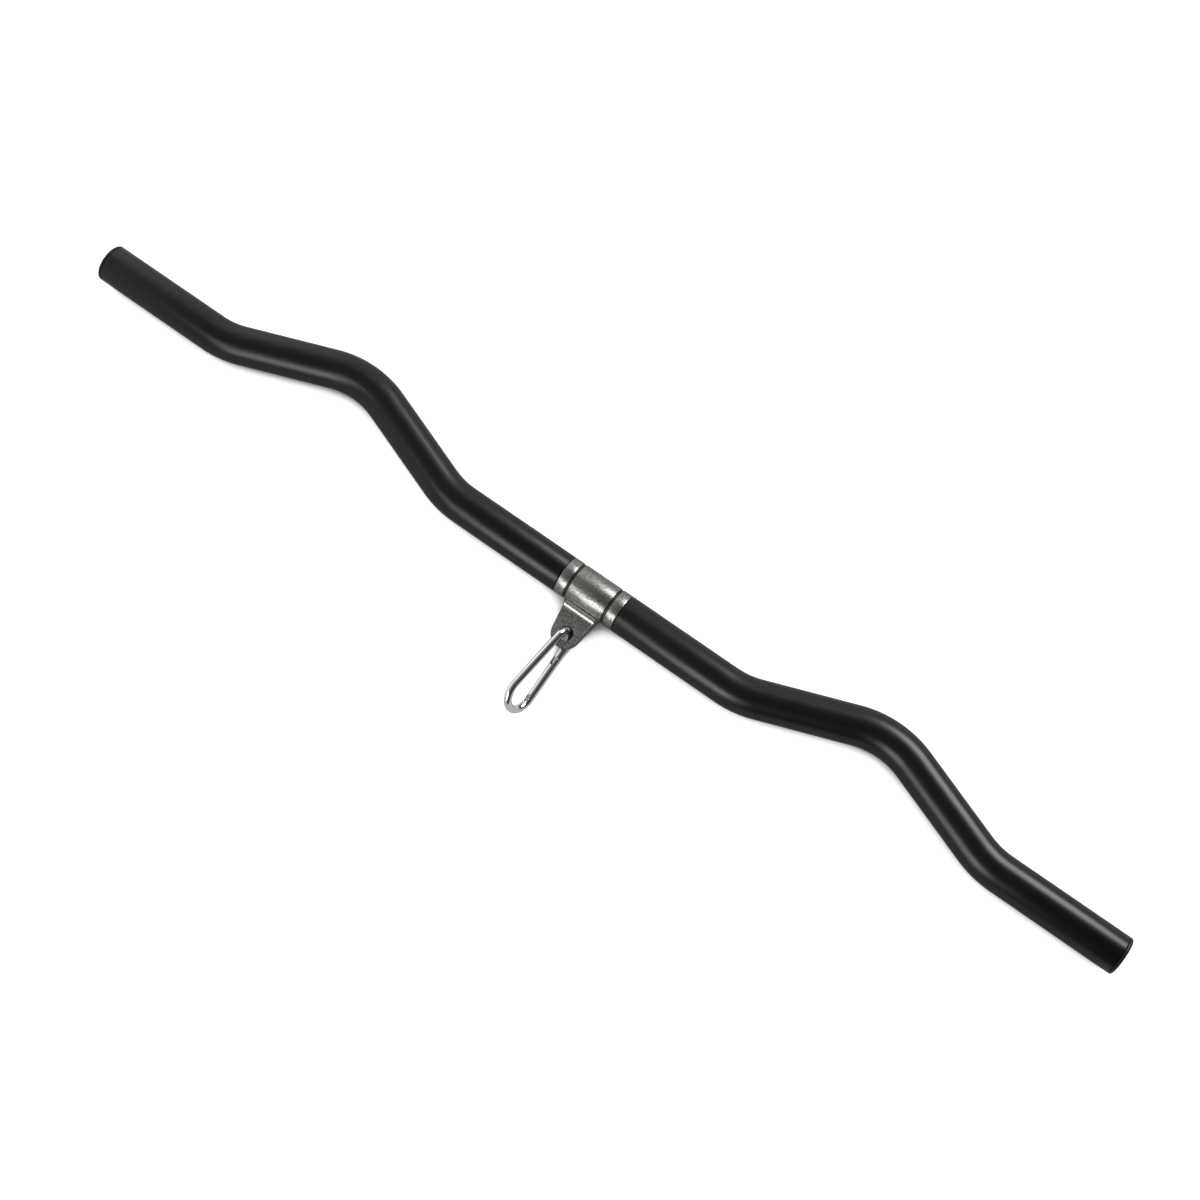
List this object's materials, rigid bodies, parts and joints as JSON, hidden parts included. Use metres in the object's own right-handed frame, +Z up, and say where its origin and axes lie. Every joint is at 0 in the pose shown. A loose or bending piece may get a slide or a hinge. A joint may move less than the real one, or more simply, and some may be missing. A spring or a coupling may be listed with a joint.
{
  "type": "revolving cable bar",
  "caption": "Bent cable-machine bar with rubber-covered grips, a revolving centre sleeve with a welded lug, and a spring snap hook.",
  "frame": {"origin": "on the floor that the bar lies on, under the middle of its bounding box", "axes": "+X along the bar to its right end, +Y to the side that the bends stand out to, away from the lug, +Z up from the floor"},
  "size_m": [0.9148, 0.1558, 0.0301],
  "materials": {
    "cover_rubber": "satin moulded rubber",
    "black_nylon": "moulded, matt",
    "satin_steel": "turned and brushed round",
    "lug_steel": "plain plate with a fine grain",
    "tube_steel": "plain drawn steel",
    "bright_zinc": "bright plated wire",
    "black_screw": "black oxide"
  },
  "bodies": {
    "bar": {"bar_tube": "tube_steel", "left_cover": "cover_rubber", "right_cover": "cover_rubber", "left_end_plug": "black_nylon", "right_end_plug": "black_nylon", "left_collar": "satin_steel", "right_collar": "satin_steel", "left_grub_screw": "black_screw", "right_grub_screw": "black_screw"},
    "swivel": {"swivel_sleeve": "satin_steel", "left_bush": "black_nylon", "right_bush": "black_nylon", "lug_plate": "lug_steel", "upper_weld": "satin_steel", "lower_weld": "satin_steel"},
    "hook": {"hook_body": "bright_zinc", "gate_rivet": "bright_zinc"},
    "gate": {"gate": "bright_zinc", "latch_pin": "bright_zinc", "gate_spring": "tube_steel"},
    "plunger": {"gate_plunger": "tube_steel"}
  },
  "joints": [
    {"name": "swivel_spin", "type": "hinge", "parent": "bar", "child": "swivel", "pos_m": [0, 0.02905, 0.015], "axis": [1, 0, 0], "continuous": true},
    {"name": "hook_swing", "type": "hinge", "parent": "swivel", "child": "hook", "pos_m": [0.0006, -0.01366, 0.01087], "axis": [-0.9025, -0.0142, -0.4305], "range_deg": [-75, 75]},
    {"name": "gate_hinge", "type": "hinge", "parent": "hook", "child": "gate", "pos_m": [0.00447, -0.0271, 0.0032], "axis": [-0.9025, -0.0142, -0.4305], "range_deg": [0, 28], "stiffness_Nm_per_rad": 0.2, "springref_deg": -17.19},
    {"name": "plunger_slide", "type": "slide", "parent": "gate", "child": "plunger", "axis": [0.0157, -0.9999, 0], "range_m": [0, 0.00062], "deforming": ["gate_spring"]}
  ],
  "couplings": [
    {"joint": "plunger_slide", "follows": "gate_hinge", "m_per_rad": 0.00122}
  ]
}
